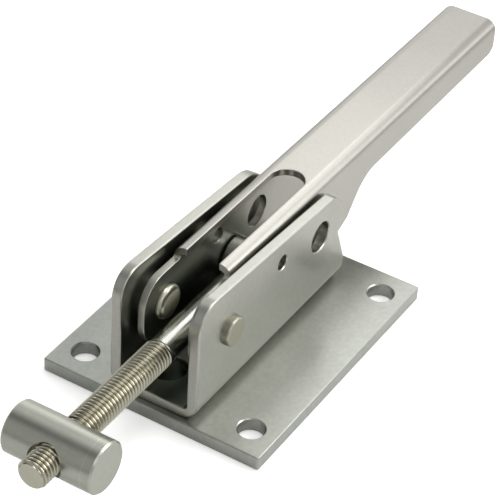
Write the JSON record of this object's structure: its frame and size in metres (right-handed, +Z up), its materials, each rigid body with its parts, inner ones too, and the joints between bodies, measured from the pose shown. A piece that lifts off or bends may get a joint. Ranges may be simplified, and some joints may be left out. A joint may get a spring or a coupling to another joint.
{
  "type": "toggle latch",
  "caption": "Heavy steel pull-action toggle latch: a base plate and channel bracket carry a long bent handle that draws in a threaded rod with a cross bar.",
  "frame": {"origin": "centre of the base plate's underside", "axes": "+X along the pull rod towards the tee bar, +Y towards the right-hand wall, +Z up out of the base plate"},
  "size_m": [0.3369, 0.1016, 0.061],
  "materials": {
    "plate_steel": "satin",
    "bracket_steel": "satin",
    "handle_steel": "satin",
    "rod_steel": "bright",
    "tee_bar_steel": "satin",
    "rivet_steel": "satin",
    "washer_steel": "satin",
    "weld_metal": "ground flush"
  },
  "bodies": {
    "root": {"base_plate": "plate_steel", "channel_bracket": "bracket_steel", "plug_weld_front": "weld_metal", "plug_weld_rear": "weld_metal", "pivot_rivet_right": "rivet_steel", "pivot_rivet_left": "rivet_steel", "pivot_washer_right": "washer_steel", "pivot_washer_left": "washer_steel"},
    "handle": {"handle": "handle_steel", "rod_pin": "rivet_steel"},
    "rod": {"pull_rod": "rod_steel"},
    "tee_bar": {"tee_bar": "tee_bar_steel"}
  },
  "joints": [
    {"name": "handle_pivot", "type": "hinge", "parent": "root", "child": "handle", "pos_m": [0.0382, 0, 0.0384], "axis": [0, 1, 0], "range_deg": [0, 125]},
    {"name": "rod_swing", "type": "hinge", "parent": "handle", "child": "rod", "pos_m": [-0.01, 0, 0.03], "axis": [0, 1, 0], "range_deg": [-125, 0]},
    {"name": "tee_bar_screw", "type": "slide", "parent": "rod", "child": "tee_bar", "axis": [1, 0, 0], "range_m": [-0.045, 0.006]}
  ],
  "couplings": [
    {"joint": "rod_swing", "follows": "handle_pivot", "ratio": -1}
  ]
}
